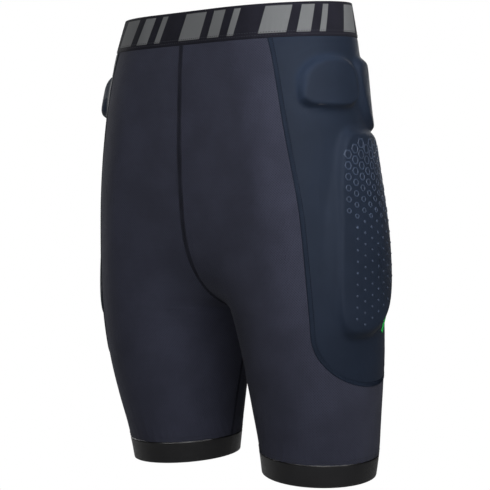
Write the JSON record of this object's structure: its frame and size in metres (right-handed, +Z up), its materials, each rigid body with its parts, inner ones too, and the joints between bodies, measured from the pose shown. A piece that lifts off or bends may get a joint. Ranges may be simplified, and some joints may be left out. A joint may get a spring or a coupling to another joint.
{
  "type": "padded impact shorts",
  "caption": "Long-leg stretch shorts with a wide elastic waistband and foam impact pads held under covers on the hips, thighs and tailbone.",
  "frame": {"origin": "centre of the waist opening, in the plane of the waistband's top edge", "axes": "+Z up out of the waist, the front faces -Y, the wearer's left is +X"},
  "size_m": [0.3924, 0.2183, 0.554],
  "materials": {
    "knit": "matt fine mesh knit",
    "side_lycra": "smooth stretch jersey",
    "seam_tape": "cover-stitched tape",
    "lining_mesh": "open mesh",
    "pad_foam": "moulded closed-cell foam",
    "cell_foam": "moulded closed-cell foam",
    "accent_tape": "bright woven tape",
    "hem_elastic": "satin elastic",
    "thread": "polyester thread",
    "silicone": "printed silicone grip",
    "waist_elastic": "ribbed jacquard elastic",
    "label_tape": "blank satin tape"
  },
  "bodies": {
    "root": {"waistband": "waist_elastic", "waistband_stitching": "thread", "waistband_label": "label_tape", "front_lining": "lining_mesh", "front_centre_seam": "seam_tape", "back_centre_seam": "seam_tape", "tailbone_pad": "pad_foam", "tailbone_pocket": "side_lycra", "front_panel_left": "knit", "front_panel_right": "knit", "back_panel_left": "knit", "back_panel_right": "knit", "side_panel_left": "side_lycra", "side_panel_right": "side_lycra", "side_panel_seam_left": "seam_tape", "side_panel_seam_right": "seam_tape", "pad_pocket_left": "lining_mesh", "pad_pocket_right": "lining_mesh", "hip_pad_left": "pad_foam", "hip_pad_right": "pad_foam", "rear_hip_pad_left": "pad_foam", "rear_hip_pad_right": "pad_foam", "thigh_pad_left": "pad_foam", "thigh_pad_right": "pad_foam", "thigh_pad_cells_left": "cell_foam", "thigh_pad_cells_right": "cell_foam", "accent_strip_left": "accent_tape", "accent_strip_right": "accent_tape", "leg_seam_left": "seam_tape", "leg_seam_right": "seam_tape", "inseam_left": "seam_tape", "inseam_right": "seam_tape", "hem_band_left": "hem_elastic", "hem_band_right": "hem_elastic", "hem_stitching_left": "thread", "hem_stitching_right": "thread", "hem_gripper_left": "silicone", "hem_gripper_right": "silicone"}
  },
  "joints": []
}
